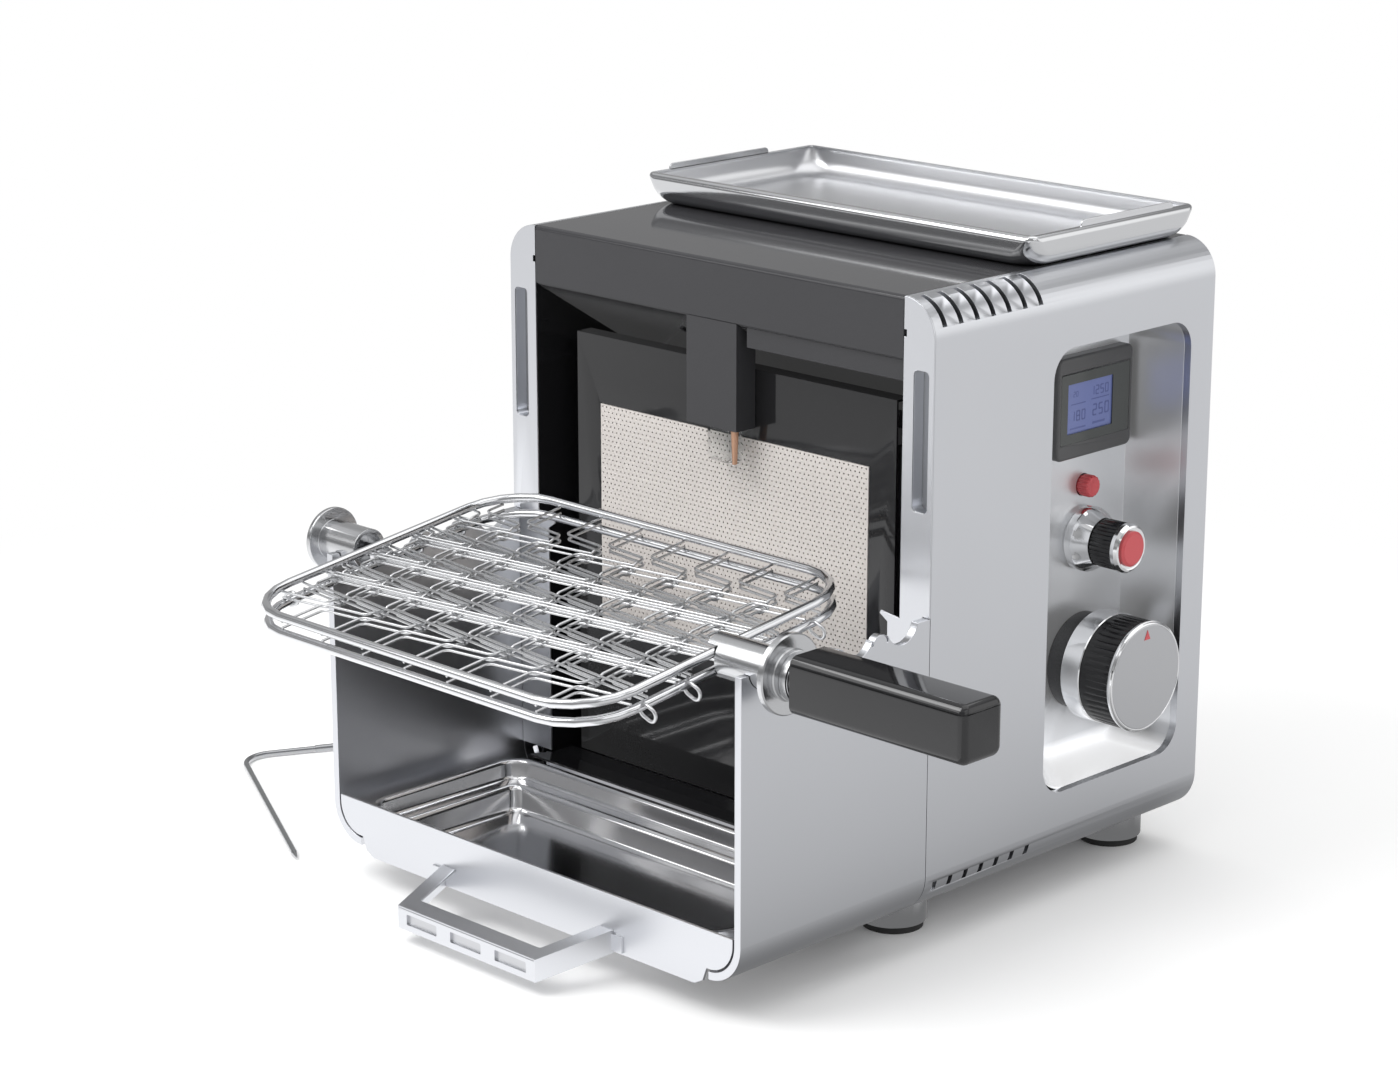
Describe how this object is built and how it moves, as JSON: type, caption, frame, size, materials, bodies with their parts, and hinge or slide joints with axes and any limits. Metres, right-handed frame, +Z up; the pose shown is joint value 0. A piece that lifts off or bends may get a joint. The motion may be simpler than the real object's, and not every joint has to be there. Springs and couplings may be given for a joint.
{
  "type": "infrared tabletop grill",
  "caption": "Gas infrared tabletop grill with a rear burner, turnable wire basket, drip drawer and top tray.",
  "frame": {"origin": "Centre of the outline seen from above, on the floor that the feet stand on.", "axes": "+X to the grill's right, where the grip and the controls are; +Y to its back; +Z up."},
  "size_m": [0.7081, 0.5192, 0.4131],
  "materials": {
    "satin_steel": "stainless steel sheet, satin to bright",
    "polished_steel": "polished stainless steel",
    "charcoal_enamel": "glossy charcoal enamel",
    "black_enamel": "black enamel, soft gloss",
    "plain_steel": "plain rolled steel, unseen inside",
    "burner_ceramic": "porous beige ceramic",
    "clear_glass": "clear glass",
    "electrode": "heat-tinted copper coloured metal",
    "grip_black": "black moulded plastic, glossy",
    "knob_black": "black moulded plastic with fine ribs",
    "knob_silver": "turned satin metal",
    "red_plastic": "red moulded plastic",
    "bezel_grey": "dark grey display housing",
    "screen_blue": "blue lit screen",
    "board_green": "circuit board",
    "cast_alloy": "die cast body, unfinished",
    "brass_fitting": "turned brass",
    "pad_rubber": "dark rubber"
  },
  "bodies": {
    "housing": {"side_shell_right": "satin_steel", "side_shell_left": "satin_steel", "cheek_right": "satin_steel", "cheek_left": "satin_steel", "column_right": "satin_steel", "column_left": "satin_steel", "slot_pockets": "satin_steel", "control_pocket": "satin_steel", "rear_panel": "satin_steel", "feet": "satin_steel", "small_knob_bell": "polished_steel", "rear_screws": "polished_steel", "top_cover": "charcoal_enamel", "hood_ceiling": "charcoal_enamel", "igniter_box": "charcoal_enamel", "port_rim": "charcoal_enamel", "liner_right": "black_enamel", "liner_left": "black_enamel", "burner_frame": "black_enamel", "drip_apron": "black_enamel", "chamber_back": "plain_steel", "base_plate": "plain_steel", "burner_box": "plain_steel", "mixing_tube": "plain_steel", "burner_tile": "burner_ceramic", "sight_glass": "clear_glass", "spark_electrode": "electrode", "large_knob_base": "grip_black", "spark_module": "knob_black", "display_bezel": "bezel_grey", "display_screen": "screen_blue", "control_board": "board_green", "gas_valve": "cast_alloy", "gas_inlet": "brass_fitting", "probe_socket": "brass_fitting", "foot_pads": "pad_rubber"},
    "button": {"red_button": "red_plastic"},
    "small_knob": {"small_knob_ring": "knob_black", "small_knob_cap": "polished_steel", "small_knob_disc": "red_plastic"},
    "large_knob": {"large_knob_collar": "knob_silver", "large_knob_grip": "knob_black", "large_knob_cap": "polished_steel", "large_knob_pointer": "red_plastic"},
    "drawer": {"drawer_front": "satin_steel", "drawer_pan": "satin_steel", "drawer_runners": "plain_steel", "drawer_handle": "satin_steel"},
    "left_bush": {"hub_left": "polished_steel"},
    "basket": {"basket_lower_frame": "polished_steel", "basket_upper_frame": "polished_steel", "basket_lower_mesh": "polished_steel", "basket_upper_mesh": "polished_steel", "basket_links": "polished_steel", "basket_pin": "polished_steel"},
    "grip_unit": {"hub_right": "polished_steel", "grip": "grip_black"},
    "tray": {"top_tray": "polished_steel"},
    "probe_body": {"probe": "polished_steel"}
  },
  "joints": [
    {"name": "button_push", "type": "slide", "parent": "housing", "child": "button", "axis": [-1, 0, 0], "range_m": [0, 0.0025], "stiffness_N_per_m": 400},
    {"name": "small_knob_turn", "type": "hinge", "parent": "housing", "child": "small_knob", "pos_m": [0.17443, 0.18422, 0.206], "axis": [1, 0, 0], "range_deg": [0, 270]},
    {"name": "large_knob_turn", "type": "hinge", "parent": "housing", "child": "large_knob", "pos_m": [0.18443, 0.18422, 0.1274], "axis": [1, 0, 0], "range_deg": [0, 270]},
    {"name": "drawer_slide", "type": "slide", "parent": "housing", "child": "drawer", "axis": [0, -1, 0], "range_m": [0, 0.12]},
    {"name": "bush_lift", "type": "slide", "parent": "housing", "child": "left_bush", "axis": [0, 0, 1], "range_m": [0, 0.06]},
    {"name": "basket_turn", "type": "hinge", "parent": "left_bush", "child": "basket", "pos_m": [0.02443, -0.14728, 0.2081], "axis": [1, 0, 0], "continuous": true},
    {"name": "grip_pull", "type": "slide", "parent": "basket", "child": "grip_unit", "axis": [1, 0, 0], "range_m": [0, 0.009]},
    {"name": "tray_lift", "type": "slide", "parent": "housing", "child": "tray", "axis": [0, 0, 1], "range_m": [0, 0.05]},
    {"name": "probe_lift", "type": "slide", "parent": "housing", "child": "probe_body", "axis": [0, 0, 1], "range_m": [0, 0.05]}
  ]
}
